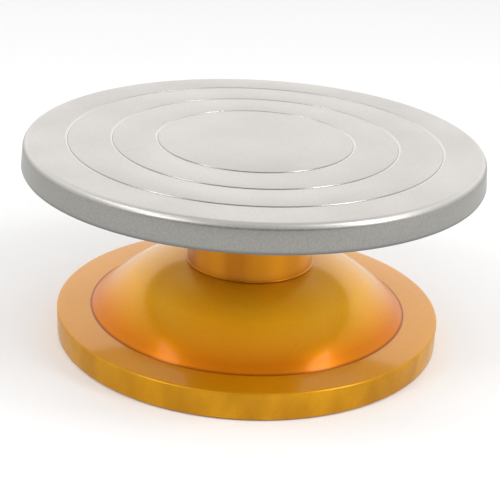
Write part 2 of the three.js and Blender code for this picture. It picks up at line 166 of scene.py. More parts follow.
def turned(name, outline, facets=SMALL_FACETS, centre=(0, 0), sharp=35):
    """A closed solid turned about a vertical axis. The outline's (radius, height) points go
    anticlockwise, and either start and end on the axis or close on themselves."""
    rings, vertices, faces = [], [], []
    for radius, height in outline:
        count = facets if radius > 0 else 1
        rings.append([len(vertices) + i for i in range(count)])
        for i in range(count):
            angle = FULL_TURN * i / facets
            x = centre[0] + radius * math.cos(angle)
            y = centre[1] + radius * math.sin(angle)
            vertices.append((x, y, height))
    pairs = list(zip(rings, rings[1:]))
    if outline[0][0] > 0:
        pairs.append((rings[-1], rings[0]))
    for lower, upper in pairs:
        for i in range(facets):
            j = (i + 1) % facets
            if len(lower) == 1:
                faces.append((lower[0], upper[j], upper[i]))
            elif len(upper) == 1:
                faces.append((lower[i], lower[j], upper[0]))
            else:
                faces.append((lower[i], lower[j], upper[j], upper[i]))
    mesh = bpy.data.meshes.new(name)
    mesh.from_pydata(vertices, [], faces)
    finish_normals(mesh, sharp)
    return mesh


def finish_normals(mesh, sharp=35):
    """Smooth shading, broken at every edge that turns by more than the given degrees."""
    mesh.shade_smooth()
    mesh.set_sharp_from_angle(angle=math.radians(sharp))


def weld(mesh):
    """Joins the corners that a cut left in one place, and drops the slivers between them."""
    same_place = 0.001 * MM
    work = bmesh.new()
    work.from_mesh(mesh)
    bmesh.ops.remove_doubles(work, verts=work.verts, dist=same_place)
    bmesh.ops.dissolve_degenerate(work, edges=work.edges, dist=same_place)
    work.to_mesh(mesh)
    work.free()


def combined(mesh, tools, operation):
    """The mesh with each tool mesh joined to it or cut from it."""
    scene_objects = bpy.context.scene.collection.objects
    body = bpy.data.objects.new("body", mesh)
    scene_objects.link(body)
    helpers = []
    for tool in tools:
        helper = bpy.data.objects.new("tool", tool)
        scene_objects.link(helper)
        helpers.append(helper)
        step = body.modifiers.new("step", "BOOLEAN")
        step.object = helper
        step.operation = operation
        step.solver = "MANIFOLD"
    shown = body.evaluated_get(bpy.context.evaluated_depsgraph_get())
    result = bpy.data.meshes.new_from_object(shown)
    for helper in [body, *helpers]:
        bpy.data.objects.remove(helper)
    weld(result)
    finish_normals(result)
    return result


def rod(radius, bottom, top, facets, centre=(0, 0)):
    return turned("rod", [(0, bottom), (radius, bottom), (radius, top), (0, top)], facets, centre)


def axis_of(node):
    """Where the node's upright axis passes, from its box."""
    low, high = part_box(node)
    return (low.x + high.x) / 2, (low.y + high.y) / 2


def numbered(family, count):
    return [f"{family}_{number}" for number in range(1, count + 1)]


def screw_holes(nodes, screw, bottom):
    """A clearance hole for each screw, from the given height to just past the screw's end."""
    holes = []
    for node in nodes:
        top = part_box(node)[1].z + GAP
        holes.append(rod(screw.shank + GAP, bottom, top, SCREW_FACETS, axis_of(node)))
    return holes


def place(node, body, slot, mesh, material):
    """Shows the mesh in place of a CAD node, riding on that node's body."""
    piece = bpy.data.objects.new(f"{node}_fine", mesh)
    bpy.context.scene.collection.objects.link(piece)
    mesh.materials.clear()
    mesh.materials.append(material)
    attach(piece, body)
    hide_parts(node)
    return piece


# ---------- Materials ----------

class Surface:
    """A Principled material, with short ways to add and join its nodes."""

    def __init__(self, name, **sockets):
        self.material = bpy.data.materials.new(name)
        self.material.use_nodes = True
        self.tree = self.material.node_tree
        self.shader = self.tree.nodes["Principled BSDF"]
        for socket, value in sockets.items():
            self.set(self.shader, socket.replace("_", " "), value)
        coordinates = self.node("ShaderNodeTexCoord")
        self.place = coordinates.outputs["Object"]
        self.normal = coordinates.outputs["Normal"]
        self.outward = self.maths("MULTIPLY", self.place, (1, 1, 0), vector=True)
        self.radius = self.vector_value("LENGTH", self.outward)
        self.height = self.node("ShaderNodeSeparateXYZ", {0: self.place}).outputs["Z"]

    def set(self, node, socket, value):
        if isinstance(value, bpy.types.NodeSocket):
            self.tree.links.new(value, node.inputs[socket])
        else:
            node.inputs[socket].default_value = value

    def node(self, kind, sockets=None, **settings):
        made = self.tree.nodes.new(kind)
        for name, value in settings.items():
            setattr(made, name, value)
        for socket, value in (sockets or {}).items():
            self.set(made, socket, value)
        return made

    def maths(self, operation, *values, vector=False):
        kind = "ShaderNodeVectorMath" if vector else "ShaderNodeMath"
        return self.node(kind, dict(enumerate(values)), operation=operation).outputs[0]

    def product(self, *values):
        result = values[0]
        for value in values[1:]:
            result = self.maths("MULTIPLY", result, value)
        return result

    def vector_value(self, operation, *vectors):
        made = self.node("ShaderNodeVectorMath", dict(enumerate(vectors)), operation=operation)
        return made.outputs["Value"]

    def facing_outward(self):
        """How far the surface leans away from the axis: 1 for an upright outer wall."""
        way = self.maths("NORMALIZE", self.outward, vector=True)
        return self.vector_value("DOT_PRODUCT", way, self.normal)

    def noise(self, scale, detail=3, roughness=0.5, stretch=None):
        """Noise with about `scale` lumps to the metre, times the stretch along each axis."""
        place = self.place
        if stretch is not None:
            place = self.maths("MULTIPLY", place, stretch, vector=True)
        sockets = {"Vector": place, "Scale": scale, "Detail": detail, "Roughness": roughness}
        return self.node("ShaderNodeTexNoise", sockets).outputs["Fac"]

    def turning_marks(self, along, scale):
        """Fine rings left by the lathe, that change only along the given length."""
        position = self.maths("MULTIPLY", along, scale)
        sockets = {"W": position, "Scale": 1.0, "Detail": 4, "Roughness": 0.7}
        return self.node("ShaderNodeTexNoise", sockets, noise_dimensions="1D").outputs["Fac"]

    def ramp(self, value, low, high, to_low=0.0, to_high=1.0):
        """The value's range from low to high, turned into another range, with its ends held."""
        sockets = {0: value, 1: low, 2: high, 3: to_low, 4: to_high}
        return self.node("ShaderNodeMapRange", sockets).outputs[0]

    def mix(self, share, first, second):
        """A value that goes from the first to the second as the share goes from 0 to 1."""
        return self.node("ShaderNodeMix", {0: share, 2: first, 3: second}).outputs[0]

    def blend(self, share, first, second):
        """A colour that goes from the first to the second as the share goes from 0 to 1. The
        node's colour sockets are numbers 6 and 7, and its colour result is number 2."""
        mix = self.node("ShaderNodeMix", {0: share}, data_type="RGBA")
        self.set(mix, 6, first)
        self.set(mix, 7, second)
        return mix.outputs[2]

    def bump(self, height, distance, strength=1.0, normal=None):
        sockets = {"Strength": strength, "Distance": distance, "Height": height}
        if normal is not None:
            sockets["Normal"] = normal
        return self.node("ShaderNodeBump", sockets).outputs["Normal"]

    def apply(self, **sockets):
        for socket, value in sockets.items():
            self.set(self.shader, socket.replace("_", " "), value)
        return self.material


def rgb(red, green, blue):
    return (red, green, blue, 1.0)


def inside_grooves(s):
    """1 in the plate's three grooves and 0 elsewhere: below the face, but not below the grooves,
    and not on the rim."""
    hardly_sunk, well_sunk = 0.02 * MM, 0.1 * MM
    past_grooves = GROOVE_RADII[0] + 5 * MM
    sunk = s.ramp(s.height, PLATE_TOP - hardly_sunk, PLATE_TOP - well_sunk)
    near_top = s.ramp(s.height, PLATE_TOP - 2 * GROOVE_DEPTH, PLATE_TOP - 1.5 * GROOVE_DEPTH)
    within_rim = s.ramp(s.radius, past_grooves, past_grooves - 1 * MM)
    return s.product(sunk, near_top, within_rim)


def satin_aluminium():
    """Turned and lightly grained on top, with a darker, coarser skin round the rim, and painted
    shade on the chamfer under it. The grooves are shinier than the face, and darker on the wall
    that faces outward, which is painted shade."""
    s = Surface("satin_aluminium", Metallic=1.0)
    rim = s.ramp(s.radius, PLATE_RADIUS - 3 * MM, PLATE_RADIUS - 1.2 * MM)
    cloud = s.noise(14, detail=3)
    grain = s.noise(1100, detail=5, roughness=0.7)
    mottle = s.noise(750, detail=5, roughness=0.65)
    marks = s.turning_marks(s.radius, 2600)
    tone = s.ramp(cloud, 0.35, 0.65)
    bright = s.blend(tone, rgb(0.605, 0.576, 0.549), rgb(0.665, 0.636, 0.607))
    speckled = s.blend(s.ramp(grain, 0.5, 0.68, 0.0, 0.4), bright, rgb(0.47, 0.455, 0.435))
    pits = s.node("ShaderNodeTexVoronoi", {"Vector": s.place, "Scale": 16.0}).outputs["Distance"]
    pitted = s.blend(s.ramp(pits, 0.018, 0.008), speckled, rgb(0.2, 0.19, 0.18))
    skin = s.blend(s.ramp(mottle, 0.3, 0.7), rgb(0.255, 0.251, 0.232), rgb(0.34, 0.336, 0.31))
    # Painted shade: the chamfer under the rim faces down, and is painted a darker, bluer grey.
    chamfer_painted_shade = s.ramp(s.height, RIM_BOTTOM + RIM_CHAMFER + 1 * MM, RIM_BOTTOM + 0.5 * RIM_CHAMFER)
    chamfer_shaded = s.blend(chamfer_painted_shade, skin, rgb(0.17, 0.18, 0.185))
    in_groove = inside_grooves(s)
    # Painted shade: the groove wall that faces outward is painted dark, for the shade down in the
    # groove.
    groove_wall_painted_shade = s.product(in_groove, s.ramp(s.facing_outward(), 0.1, 0.4))
    shiny_grooves = s.blend(in_groove, pitted, rgb(0.66, 0.64, 0.62))
    grooves_with_painted_shade = s.blend(groove_wall_painted_shade, shiny_grooves, rgb(0.34, 0.33, 0.32))
    rough_face = s.ramp(grain, 0.3, 0.7, 0.34, 0.44)
    rough_top = s.mix(in_groove, rough_face, 0.25)
    rough_rim = s.ramp(mottle, 0.3, 0.7, 0.32, 0.44)
    rough = s.mix(rim, rough_top, rough_rim)
    fine = s.bump(grain, 0.02 * MM, 0.5)
    ringed = s.bump(marks, 0.012 * MM, 0.4, fine)
    skinned = s.bump(s.product(mottle, rim), 0.03 * MM, 0.3, ringed)
    colour = s.blend(rim, grooves_with_painted_shade, chamfer_shaded)
    return s.apply(Base_Color=colour, Roughness=rough, Normal=skinned)


def cast_aluminium():
    s = Surface("cast_aluminium", Metallic=1.0)
    sand = s.noise(900, detail=6, roughness=0.7)
    cloud = s.noise(30)
    colour = s.blend(s.ramp(cloud, 0.3, 0.7), rgb(0.50, 0.50, 0.49), rgb(0.62, 0.62, 0.61))
    rough = s.ramp(sand, 0.3, 0.7, 0.45, 0.65)
    return s.apply(Base_Color=colour, Roughness=rough, Normal=s.bump(sand, 0.1 * MM))


def gold_lacquer():
    """Orange-gold lacquer over bright metal under a clear gloss. It is painted a deeper orange
    towards the foot of the dome, as a painted reflection of the orange flange, and darker on the
    neck, as painted shade from the plate, in upright bands of painted reflection. It is browner on
    the flange's wall, and darker red-brown in the crease round the dome. The gloss is full on the
    flange's top, and thinner on its wall, at the foot of the dome, on the neck and in the crease."""
    s = Surface("gold_lacquer", Coat_Roughness=0.09, Coat_IOR=1.36, Specular_IOR_Level=0.05)
    cloud = s.noise(9, detail=2)
    flake = s.noise(2600, detail=2, roughness=0.6)
    orange_peel = s.noise(160, detail=1)
    # Upright bands round the neck, for painted reflections.
    painted_reflection_bands = s.noise(32, detail=1, stretch=(1, 1, 0.05))
    blotches = s.noise(45, detail=4, stretch=(1, 1, 0.5))

    clouded = s.ramp(cloud, 0.3, 0.7)
    gold = s.blend(clouded, rgb(0.80, 0.365, 0.006), rgb(0.86, 0.435, 0.011))
    # Painted reflection: the foot of the dome is painted a deeper orange, for the orange flange it
    # reflects.
    low = s.ramp(s.height, 0.78 * DOME_TOP, 0.45 * DOME_TOP)
    dome_gold_with_painted_reflection = s.blend(low, gold, rgb(0.62, 0.178, 0.002))
    above_flange = s.ramp(s.height, FLANGE_TOP, FLANGE_TOP + 0.5 * MM)
    flange_gold = s.blend(clouded, rgb(0.66, 0.265, 0.002), rgb(0.73, 0.305, 0.003))
    body_gold = s.blend(above_flange, flange_gold, dome_gold_with_painted_reflection)

    # Painted shade and reflection: the neck is painted darker, for the plate's shade, in upright
    # bands of painted reflection.
    reflection_banded = s.ramp(painted_reflection_bands, 0.35, 0.65)
    neck_painted_shade_and_reflection = s.blend(reflection_banded, rgb(0.40, 0.135, 0.002), rgb(0.66, 0.26, 0.006))
    on_neck = s.ramp(s.height, DOME_TOP + 0.2 * MM, DOME_TOP + 0.4 * MM)
    upper = s.blend(on_neck, body_gold, neck_painted_shade_and_reflection)
    wall = s.ramp(s.radius, BASE_RADIUS - 1 * MM, BASE_RADIUS - 0.3 * MM)
    blotched = s.ramp(blotches, 0.3, 0.7)
    wall_gold = s.blend(blotched, rgb(0.44, 0.19, 0.006), rgb(0.64, 0.30, 0.010))
    walled = s.blend(wall, upper, wall_gold)

    from_crease = s.maths("ABSOLUTE", s.maths("SUBTRACT", s.radius, DOME_RADIUS))
    near_crease = s.ramp(from_crease, 1.2 * MM, 0.2 * MM)
    on_top = s.ramp(s.height, FLANGE_TOP - 0.6 * MM, FLANGE_TOP - 0.3 * MM)
    in_crease = s.product(near_crease, on_top)
    # The crease round the dome is painted a darker red-brown.
    darker_crease = s.blend(in_crease, walled, rgb(0.34, 0.075, 0.001))
    sparkle = s.blend(s.ramp(flake, 0.6, 0.8, 0.0, 0.2), darker_crease, rgb(0.9, 0.46, 0.02))

    flange_coat = s.mix(wall, 1.0, 0.16)
    dome_coat = s.ramp(s.height, FLANGE_TOP + 8 * MM, FLANGE_TOP + 17 * MM, 0.22, 0.62)
    body_coat = s.mix(above_flange, flange_coat, dome_coat)
    thin_coat = 0.3
    coat = s.mix(in_crease, s.mix(on_neck, body_coat, thin_coat), thin_coat)
    return s.apply(
        Base_Color=sparkle,
        Metallic=s.mix(on_neck, 0.45, 0.85),
        Roughness=s.ramp(flake, 0.3, 0.7, 0.26, 0.34),
        Normal=s.bump(flake, 0.01 * MM, 0.3),
        Coat_Weight=coat,
        Coat_Normal=s.bump(orange_peel, 0.015 * MM, 0.2),
    )


def turned_steel(name, dark, light, roughness):
    """Steel with fine turning marks along its height and across its faces."""
    s = Surface(name, Metallic=1.0)
    marks = s.turning_marks(s.maths("ADD", s.radius, s.height), 5000)
    cloud = s.noise(200)
    colour = s.blend(s.ramp(cloud, 0.3, 0.7), dark, light)
    rough = s.ramp(marks, 0.3, 0.7, roughness, roughness + 0.12)
    return s.apply(Base_Color=colour, Roughness=rough, Normal=s.bump(marks, 0.01 * MM, 0.6))


def cage_plastic():
    s = Surface("cage_plastic", Metallic=0.0)
    grain = s.noise(3000)
    colour = s.blend(grain, rgb(0.018, 0.05, 0.035), rgb(0.03, 0.075, 0.05))
    rough = s.ramp(grain, 0.3, 0.7, 0.45, 0.6)
    return s.apply(Base_Color=colour, Roughness=rough, Normal=s.bump(grain, 0.02 * MM))


def black_rubber():
    s = Surface("black_rubber", Metallic=0.0)
    grain = s.noise(1500, detail=5, roughness=0.7)
    dust = s.noise(60, detail=4)
    colour = s.blend(s.ramp(dust, 0.45, 0.75), rgb(0.012, 0.012, 0.013), rgb(0.035, 0.034, 0.033))
    rough = s.ramp(grain, 0.3, 0.7, 0.65, 0.85)
    return s.apply(Base_Color=colour, Roughness=rough, Normal=s.bump(grain, 0.05 * MM))


def floor_paint():
    s = Surface("floor_paint", Metallic=0.0)
    colour = s.blend(s.noise(3), rgb(0.91, 0.91, 0.91), rgb(0.93, 0.93, 0.93))
    return s.apply(Base_Color=colour, Roughness=0.8)


SATIN_ALUMINIUM = satin_aluminium()
CAST_ALUMINIUM = cast_aluminium()
GOLD_LACQUER = gold_lacquer()
BEARING_STEEL = turned_steel("bearing_steel", rgb(0.52, 0.53, 0.55), rgb(0.6, 0.61, 0.63), 0.14)
ZINC_STEEL = turned_steel("zinc_steel", rgb(0.46, 0.48, 0.5), rgb(0.58, 0.58, 0.56), 0.3)
SPRING_STEEL = turned_steel("spring_steel", rgb(0.05, 0.052, 0.055), rgb(0.09, 0.09, 0.09), 0.35)
CAGE_PLASTIC = cage_plastic()
BLACK_RUBBER = black_rubber()


# ---------- Plate ----------

def groove(radius):
    """A shallow channel with a flat bottom and rounded walls, listed from its outer side."""
    steps = 24
    bottom_share = 0.4
    points = []
    for i in range(steps + 1):
        across = 1 - 2 * i / steps
        up_the_wall = max(0, abs(across) - bottom_share) / (1 - bottom_share)
        sink = GROOVE_DEPTH * (0.5 + 0.5 * math.cos(math.pi * up_the_wall))
        points.append((radius + across * GROOVE_HALF_WIDTH, PLATE_TOP - sink))
    return points


def top_plate():
    underside = PLATE_TOP - PLATE_THICKNESS
    rim_top = PLATE_RADIUS - RIM_DRAFT
    inner_wall = PLATE_RADIUS - RIM_WALL
    inner_round = 4 * MM
    pad_bottom = PLATE_TOP - PAD_THICKNESS
    pad_slope = PAD_THICKNESS - PLATE_THICKNESS
    middle_ring = 20 * MM  # a ring of corners on the face, well inside the smallest groove
    outline = [
        (0, pad_bottom),
        (PAD_RADIUS, pad_bottom),
        (PAD_RADIUS + pad_slope, underside),
        *arc(inner_wall - RIM_DRAFT / 2 - inner_round, underside - inner_round, inner_round, 90, 0),
        (inner_wall, RIM_BOTTOM),
        (PLATE_RADIUS - RIM_CHAMFER / 2, RIM_BOTTOM),
        (PLATE_RADIUS, RIM_BOTTOM + RIM_CHAMFER),
        *arc(rim_top - RIM_ROUND, PLATE_TOP - RIM_ROUND, RIM_ROUND, 0, 90, 14),
    ]
    for radius in GROOVE_RADII:
        outline += groove(radius)
    outline += [(middle_ring, PLATE_TOP), (0, PLATE_TOP)]
    dish = turned("top_plate", outline, LARGE_FACETS)
    holes = screw_holes(numbered("hub_screw", HUB_SCREWS), HUB_SCREW, pad_bottom - MM)
    return combined(dish, holes, "DIFFERENCE")


def plate_hub():
    bore = spindle_high.x + 0.4 * MM
    bottom, top = hub_low.z, hub_high.z
    radius = hub_high.x
    edge = 1 * MM
    nose_edge = 0.4 * MM
    below_flange = HUB_FLANGE_BOTTOM - MM
    outline = [
        (bore, bottom),
        *arc(HUB_NOSE_RADIUS - nose_edge, bottom + nose_edge, nose_edge, -90, 0, 4),
        *arc(HUB_NOSE_RADIUS + edge, HUB_FLANGE_BOTTOM - edge, edge, 180, 90, 5),
        *arc(radius - edge, HUB_FLANGE_BOTTOM + edge, edge, -90, 0, 5),
        (radius, top),
        (bore, top),
    ]
    hub = turned("plate_hub", outline, SMALL_FACETS)
    screws = numbered("hub_screw", HUB_SCREWS)
    shanks = screw_holes(screws, HUB_SCREW, below_flange)
    heads = []
    for node in screws:
        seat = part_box(node)[0].z + HUB_SCREW.head_height + GAP
        heads.append(rod(HUB_SCREW.head + GAP, below_flange, seat, SCREW_FACETS, axis_of(node)))
    return combined(hub, shanks + heads, "DIFFERENCE")


def socket_screw(node, screw):
    """A socket-head screw that points up, with a rounded head and a chamfered end."""
    low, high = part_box(node)
    bottom, top = low.z, high.z
    seat = bottom + screw.head_height
    edge = 0.35 * MM
    outline = [
        (0, bottom),
        *arc(screw.head - edge, bottom + edge, edge, -90, 0, 4),
        (screw.head, seat),
        (screw.shank, seat),
        (screw.shank, top - edge),
        (screw.shank - edge, top),
        (0, top),
    ]
    body = turned(node, outline, SCREW_FACETS, axis_of(node))
    hollow = rod(screw.socket, bottom - MM, bottom + screw.socket_depth, HEXAGON, axis_of(node))
    return combined(body, [hollow], "DIFFERENCE")


place("top_plate", "plate", "satin_aluminium", top_plate(), SATIN_ALUMINIUM)
place("plate_hub", "plate", "cast_aluminium", plate_hub(), CAST_ALUMINIUM)
for node in numbered("hub_screw", HUB_SCREWS):
    place(node, "plate", "zinc_steel", socket_screw(node, HUB_SCREW), ZINC_STEEL)


# ---------- Spindle ----------

def tube(node, inside, edge=0.3 * MM):
    """A tube as long and as wide as the node, with its outer edges broken."""
    low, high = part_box(node)
    outline = [
        (inside, low.z),
        (high.x - edge, low.z),
        (high.x, low.z + edge),
        (high.x, high.z - edge),
        (high.x - edge, high.z),
        (inside, high.z),
    ]
    return turned(node, outline, SMALL_FACETS)


def spindle():
    """The shaft, with a threaded hole up its lower end for the end screw."""
    edge = 0.8 * MM
    bottom, top = spindle_low.z, spindle_high.z
    radius = spindle_high.x
    hole = END_SCREW_RADIUS + GAP
    hole_top = bottom + 20 * MM
    outline = [
        (0, hole_top),
        (hole, hole_top),
        (hole, bottom),
        (radius - edge, bottom),
        (radius, bottom + edge),
        (radius, top - edge),
        (radius - edge, top),
        (0, top),
    ]
    return turned("spindle", outline, SMALL_FACETS)


def end_screw():
    """A hexagon-head screw that points up."""
    low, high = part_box("spindle_end_screw")
    head_height = 4 * MM
    across_corners = high.x
    edge = 0.5 * MM
    seat = low.z + head_height
    head_outline = [
        (0, low.z),
        (across_corners - 2 * edge, low.z),
        (across_corners, low.z + edge),
        (across_corners, seat),
        (0, seat),
    ]
    head = turned("spindle_end_screw", head_outline, HEXAGON)
    shank = rod(END_SCREW_RADIUS, seat - MM, high.z, SCREW_FACETS)
    return combined(head, [shank], "UNION")


place("spindle", "plate", "bearing_steel", spindle(), BEARING_STEEL)
place("bearing_spacer", "plate", "zinc_steel", tube("bearing_spacer", BEARING_BORE), ZINC_STEEL)
washer = tube("spindle_end_washer", END_SCREW_RADIUS + 2 * GAP)
place("spindle_end_washer", "plate", "zinc_steel", washer, ZINC_STEEL)
place("spindle_end_screw", "plate", "zinc_steel", end_screw(), ZINC_STEEL)


# ---------- Bearings ----------

def raceway(land, middle, start):
    """The groove that the balls run in, from one shoulder to the other."""
    size = BALL_RADIUS + 1.2 * GAP
    reach = math.degrees(math.acos(abs(BALL_CIRCLE - land) / size))
    return arc(BALL_CIRCLE, middle, size, start + reach, start - reach, 16)


def inner_race(node):
    low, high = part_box(node)
    middle = (low.z + high.z) / 2
    edge = 0.4 * MM
    outline = [
        (BEARING_BORE, low.z + edge),
        (BEARING_BORE + edge, low.z),
        (INNER_LAND, low.z),
        *raceway(INNER_LAND, middle, 180),
        (INNER_LAND, high.z),
        (BEARING_BORE + edge, high.z),
        (BEARING_BORE, high.z - edge),
    ]
    return turned(node, outline, SMALL_FACETS)


def outer_race(node):
    low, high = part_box(node)
    middle = (low.z + high.z) / 2
    edge = 0.4 * MM
    outline = [
        (OUTER_LAND, low.z),
        (BEARING_RADIUS - edge, low.z),
        (BEARING_RADIUS, low.z + edge),
        (BEARING_RADIUS, high.z - edge),
        (BEARING_RADIUS - edge, high.z),
        (OUTER_LAND, high.z),
        *raceway(OUTER_LAND, middle, 0),
    ]
    return turned(node, outline, SMALL_FACETS)


def ball(node):
    low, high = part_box(node)
    middle = (low.z + high.z) / 2
    outline = [(0, middle - BALL_RADIUS)]
    outline += arc(0, middle, BALL_RADIUS, -90, 90, 24)[1:-1]
    outline += [(0, middle + BALL_RADIUS)]
    return turned(node, outline, SCREW_FACETS, axis_of(node), sharp=60)


def ball_cage(node, balls):
    """A crown: a ring below the balls, with prongs that stand up between them."""
    low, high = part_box(node)
    outline = [(CAGE_INSIDE, low.z), (high.x, low.z), (high.x, high.z), (CAGE_INSIDE, high.z)]
    crown = turned(node, outline, SMALL_FACETS)
    pocket_reach = 6 * MM
    lay_down = Matrix.Rotation(math.pi / 2, 4, "Y")
    pockets = []
    for ball_node in balls:
        ball_low, ball_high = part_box(ball_node)
        middle = (ball_low + ball_high) / 2
        swing = Matrix.Rotation(math.atan2(middle.y, middle.x), 4, "Z")
        pocket = rod(BALL_RADIUS + GAP, -pocket_reach, pocket_reach, SCREW_FACETS)
        pocket.transform(Matrix.Translation(middle) @ swing @ lay_down)
        pockets.append(pocket)
    return combined(crown, pockets, "DIFFERENCE")


def bearing(level):
    stem = f"{level}_bearing"
    rolling = f"{level}_ball_set"
    outer, inner, cage = f"{stem}_outer_race", f"{stem}_inner_race", f"{stem}_cage"
    balls = numbered(f"{stem}_ball", BALLS)
    place(outer, "base", "bearing_steel", outer_race(outer), BEARING_STEEL)
    place(inner, "plate", "bearing_steel", inner_race(inner), BEARING_STEEL)
    place(cage, rolling, "cage_plastic", ball_cage(cage, balls), CAGE_PLASTIC)
    for side in ("lower", "upper"):
        shield = f"{stem}_{side}_shield"
        mesh = tube(shield, INNER_LAND + 0.4 * MM, 0.15 * MM)
        place(shield, "base", "zinc_steel", mesh, ZINC_STEEL)
    for node in balls:
        place(node, rolling, "bearing_steel", ball(node), BEARING_STEEL)


bearing("upper")
bearing("lower")


# ---------- Base ----------

def base_casting():
    flange_inside = BASE_RADIUS - BASE_WALL
    flange_underside = FLANGE_TOP - BASE_WALL
    hole = SPIGOT_RADIUS + GAP
    dome = (
        (DOME_RADIUS, FLANGE_TOP),
        (
            DOME_RADIUS - DOME_FOOT_PULL * math.cos(DOME_FOOT_SLOPE),
            FLANGE_TOP + DOME_FOOT_PULL * math.sin(DOME_FOOT_SLOPE),
        ),
        (
            NECK_RADIUS + NECK_BEAD + DOME_TOP_PULL * math.cos(DOME_TOP_SLOPE),
            DOME_TOP - DOME_TOP_PULL * math.sin(DOME_TOP_SLOPE),
        ),
        (NECK_RADIUS + NECK_BEAD, DOME_TOP),
    )
    edge = 0.5 * MM
    wall_draft = 0.3 * MM
    bevel = 2 * MM
    outline = [
        (flange_inside, BASE_BOTTOM),
        *arc(BASE_RADIUS - wall_draft - edge, BASE_BOTTOM + edge, edge, -90, 0, 4),
        *arc(BASE_RADIUS - FLANGE_ROUND, FLANGE_TOP - FLANGE_ROUND, FLANGE_ROUND, 0, 90, 8),
        *curve(*dome, 0, 48),
        (hole, DOME_TOP),
        (hole, DOME_TOP - BASE_WALL),
        *reversed(curve(*dome, BASE_WALL, 24)),
        (flange_inside - bevel, flange_underside),
        (flange_inside, flange_underside - bevel),
    ]
    shell = turned("base_casting", outline, LARGE_FACETS, sharp=25)
    foot_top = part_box("rubber_foot_1")[1].z
    boss_bottom, boss_top = foot_top + GAP, flange_underside + MM
    bosses = []
    for foot in numbered("rubber_foot", FEET):
        bosses.append(rod(FOOT_BOSS_RADIUS, boss_bottom, boss_top, SCREW_FACETS, axis_of(foot)))
    bossed = combined(shell, bosses, "UNION")
    holes = screw_holes(numbered("foot_screw", FEET), FOOT_SCREW, foot_top)
    return combined(bossed, holes, "DIFFERENCE")


def neck():
    """The collar, with a web across its top and a spigot in the dome's hole."""
    inside = NECK_RADIUS - NECK_WALL
    mouth = HOUSING_RADIUS + GAP
    web_bottom = NECK_TOP - NECK_WEB
    shoulder = DOME_TOP + GAP
    edge = 1 * MM
    inner_round = 3 * MM
    outline = [
        (inside, NECK_FOOT),
        (SPIGOT_RADIUS, NECK_FOOT),
        (SPIGOT_RADIUS, shoulder),
        (NECK_RADIUS + NECK_BEAD, shoulder),
        *arc(NECK_RADIUS + NECK_BEAD, shoulder + NECK_BEAD, NECK_BEAD, 270, 180, 5)[1:],
        *arc(NECK_RADIUS - edge, NECK_TOP - edge, edge, 0, 90, 5),
        (mouth, NECK_TOP),
        (mouth, web_bottom),
        *arc(inside - inner_round, web_bottom - inner_round, inner_round, 90, 0),
    ]
    collar = turned("neck", outline, LARGE_FACETS, sharp=25)
    screws = numbered("housing_screw", HOUSING_SCREWS)
    return combined(collar, screw_holes(screws, HOUSING_SCREW, web_bottom - MM), "DIFFERENCE")


def housing_bore():
    """The bore from the top down: a seat, the bearings' shoulder, a seat and the clip's groove."""
    seat = BEARING_RADIUS + GAP
    shoulder = BEARING_RADIUS - 2 * MM
    upper_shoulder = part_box("upper_bearing_outer_race")[0].z - GAP
    lower_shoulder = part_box("lower_bearing_outer_race")[1].z + GAP
    clip_low, clip_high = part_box("housing_circlip")
    groove_radius = clip_high.y + 0.4 * MM
    return [
        (seat, NECK_TOP),
        (seat, upper_shoulder),
        (shoulder, upper_shoulder),
        (shoulder, lower_shoulder),
        (seat, lower_shoulder),
        (seat, clip_high.z + GAP),
        (groove_radius, clip_high.z + GAP),
        (groove_radius, clip_low.z - GAP),
        (seat, clip_low.z - GAP),
        (seat, HOUSING_BOTTOM),
    ]


def bearing_housing():
    """The flanged sleeve that carries both bearings."""
    flange_top = NECK_TOP - NECK_WEB - GAP
    flange_bottom = flange_top - HOUSING_FLANGE
    edge = 0.6 * MM
    outline = [
        *housing_bore(),
        *arc(HOUSING_RADIUS - edge, HOUSING_BOTTOM + edge, edge, -90, 0, 4),
        *arc(HOUSING_RADIUS + edge, flange_bottom - edge, edge, 180, 90, 4),
        *arc(HOUSING_FLANGE_RADIUS - edge, flange_bottom + edge, edge, -90, 0, 4),
        (HOUSING_FLANGE_RADIUS, flange_top),
        (HOUSING_RADIUS, flange_top),
        (HOUSING_RADIUS, NECK_TOP),
    ]
    sleeve = turned("bearing_housing", outline, SMALL_FACETS)
    screws = numbered("housing_screw", HOUSING_SCREWS)
    return combined(sleeve, screw_holes(screws, HOUSING_SCREW, flange_bottom - MM), "DIFFERENCE")


def circlip():
    """An open spring ring, with an eye at each end for the pliers."""
    low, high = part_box("housing_circlip")
    outer = high.y
    inner = 18.4 * MM
    half_opening = 0.42  # radians
    eye_inset = 0.06  # radians past the end of the ring
    eye_radius = 2.1 * MM
    eye_hole = 0.9 * MM
    eye_circle = inner - 0.5 * MM
    steps = 64
    section = ((inner, low.z), (outer, low.z), (outer, high.z), (inner, high.z))
    vertices, faces = [], []
    for i in range(steps + 1):
        angle = half_opening + (FULL_TURN - 2 * half_opening) * i / steps
        for radius, height in section:
            vertices.append((radius * math.cos(angle), radius * math.sin(angle), height))
    for i in range(steps):
        for k in range(4):
            first, second = 4 * i + k, 4 * i + (k + 1) % 4
            faces.append((first, second, second + 4, first + 4))
    faces.append((3, 2, 1, 0))
    last = 4 * steps
    faces.append((last, last + 1, last + 2, last + 3))
    spring = bpy.data.meshes.new("housing_circlip")
    spring.from_pydata(vertices, [], faces)
    spring.flip_normals()
    eyes = []
    for side in (1, -1):
        angle = side * (half_opening + eye_inset)
        eyes.append((eye_circle * math.cos(angle), eye_circle * math.sin(angle)))
    lugs = [rod(eye_radius, low.z, high.z, SCREW_FACETS, eye) for eye in eyes]
    holes = [rod(eye_hole, low.z - MM, high.z + MM, SCREW_FACETS, eye) for eye in eyes]
    return combined(combined(spring, lugs, "UNION"), holes, "DIFFERENCE")


